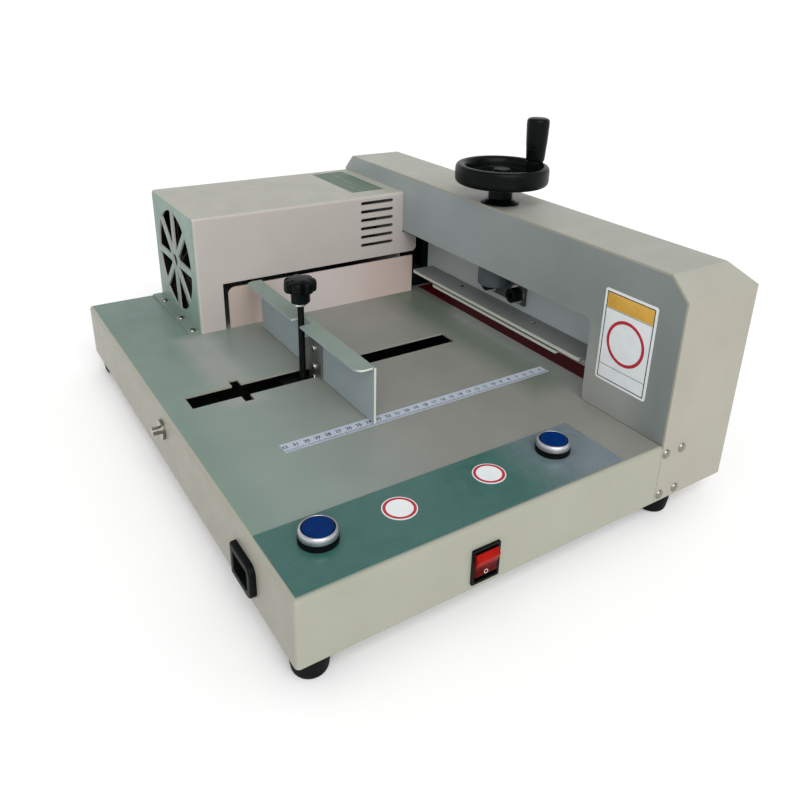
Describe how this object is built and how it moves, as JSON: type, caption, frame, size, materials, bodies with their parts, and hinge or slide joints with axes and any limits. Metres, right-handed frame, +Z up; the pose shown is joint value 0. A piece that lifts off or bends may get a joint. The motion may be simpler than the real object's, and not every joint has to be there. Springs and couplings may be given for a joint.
{
  "type": "electric paper guillotine",
  "caption": "Table-top electric guillotine: sheet-metal table with a sliding back gauge, a bridge holding clamp and knife, a handwheel for the clamp, motor cover with fan, two push buttons.",
  "frame": {"origin": "middle of the footprint of the whole machine, on the floor under its rubber feet", "axes": "+Z up; +X to the operator's right, from the gauge's side to the bridge; +Y away from the operator, from the push buttons to the motor cover"},
  "size_m": [0.443, 0.5659, 0.3154],
  "materials": {
    "cream_enamel": "satin powder coat, cream grey",
    "gauge_plate": "satin grey coat on folded sheet",
    "black_iron": "dark oxide, oiled",
    "steel": "ground, bare",
    "zinc_sheet": "zinc plated",
    "black_screws": "black oxide",
    "bright_nickel": "nickel plated",
    "black_bakelite": "moulded, half gloss",
    "black_nylon": "moulded, fine grain",
    "brass_pins": "plated",
    "blue_cap": "moulded, gloss",
    "red_rocker": "clear red moulding",
    "red_stick": "soft plastic, scored by the knife",
    "pad_strip": "pale grey strip",
    "panel_print": "printed film, satin",
    "scale_print": "printed film, white",
    "motor_paint": "dark grey enamel",
    "rubber": "moulded, matt"
  },
  "bodies": {
    "machine": {"base_shell": "cream_enamel", "gate_cover": "cream_enamel", "gate_side_panel": "cream_enamel", "gate_window_panel": "cream_enamel", "housing": "cream_enamel", "side_fence": "cream_enamel", "gate_cheeks": "black_iron", "cross_beam": "black_iron", "table_bed": "black_iron", "shaft_bearing": "black_iron", "guide_rod": "steel", "rod_bracket": "steel", "bottom_plate": "zinc_sheet", "guide_bolts": "black_screws", "foot_screws": "black_screws", "button_bezels": "bright_nickel", "cover_screws": "bright_nickel", "rod_flange": "bright_nickel", "screw_bush": "black_bakelite", "button_collars": "black_nylon", "contact_blocks": "black_nylon", "rocker_frame": "black_nylon", "power_inlet": "black_nylon", "fan_frame": "black_nylon", "control_box": "black_nylon", "inlet_pins": "brass_pins", "cutting_stick": "red_stick", "control_panel": "panel_print", "ruler_strip": "scale_print", "labels": "scale_print", "motor": "motor_paint", "gearbox": "motor_paint", "feet": "rubber"},
    "clamp": {"clamp_beam": "steel", "clamp_pad": "pad_strip", "screw_boss": "black_iron", "boss_bolts": "black_screws"},
    "screw": {"clamp_screw": "steel", "handwheel": "black_bakelite", "grip_pin": "steel"},
    "grip": {"handle_grip": "black_bakelite"},
    "knife": {"knife_carrier": "steel", "knife_blade": "steel", "blade_screws": "black_screws", "knife_rack": "steel"},
    "drive": {"drive_pinion": "steel", "drive_shaft": "steel"},
    "gauge": {"slider_block": "steel", "fence_plate": "gauge_plate", "fence_bracket": "steel", "fence_screws": "bright_nickel"},
    "lock": {"lock_rod": "steel", "lock_knob": "black_bakelite"},
    "left_button": {"button_cap_left": "blue_cap"},
    "right_button": {"button_cap_right": "blue_cap"},
    "rocker": {"rocker_paddle": "red_rocker"},
    "fan": {"fan_rotor": "black_nylon"}
  },
  "joints": [
    {"name": "clamp_slide", "type": "slide", "parent": "machine", "child": "clamp", "axis": [0, 0, 1], "range_m": [-0.0235, 0.0115]},
    {"name": "handwheel_turn", "type": "hinge", "parent": "machine", "child": "screw", "pos_m": [0.152, -0.0155, 0.25], "axis": [0, 0, 1], "range_deg": [-2120, 1040]},
    {"name": "grip_spin", "type": "hinge", "parent": "screw", "child": "grip", "pos_m": [0.19121, -0.02101, 0.29], "axis": [0, 0, 1], "continuous": true},
    {"name": "knife_slide", "type": "slide", "parent": "machine", "child": "knife", "axis": [0, 0, 1], "range_m": [-0.0468, 0]},
    {"name": "pinion_turn", "type": "hinge", "parent": "machine", "child": "drive", "pos_m": [0.1865, 0.223, 0.15], "axis": [1, 0, 0], "range_deg": [0, 199]},
    {"name": "gauge_slide", "type": "slide", "parent": "machine", "child": "gauge", "axis": [1, 0, 0], "range_m": [-0.105, 0.162]},
    {"name": "lock_turn", "type": "hinge", "parent": "gauge", "child": "lock", "pos_m": [-0.0719, 0, 0.17], "axis": [0, 0, 1], "range_deg": [0, 270]},
    {"name": "left_press", "type": "slide", "parent": "machine", "child": "left_button", "axis": [0, 0, 1], "range_m": [-0.004, 0], "stiffness_N_per_m": 600},
    {"name": "right_press", "type": "slide", "parent": "machine", "child": "right_button", "axis": [0, 0, 1], "range_m": [-0.004, 0], "stiffness_N_per_m": 600},
    {"name": "rocker_tilt", "type": "hinge", "parent": "machine", "child": "rocker", "pos_m": [-0.05859, -0.27634, 0.0435], "axis": [1, 0, 0], "range_deg": [-24, 0]},
    {"name": "fan_spin", "type": "hinge", "parent": "machine", "child": "fan", "pos_m": [-0.1135, 0.211, 0.1438], "axis": [1, 0, 0], "continuous": true}
  ],
  "couplings": [
    {"joint": "handwheel_turn", "follows": "clamp_slide", "rad_per_m": 1570.8},
    {"joint": "pinion_turn", "follows": "knife_slide", "rad_per_m": -74.074}
  ]
}
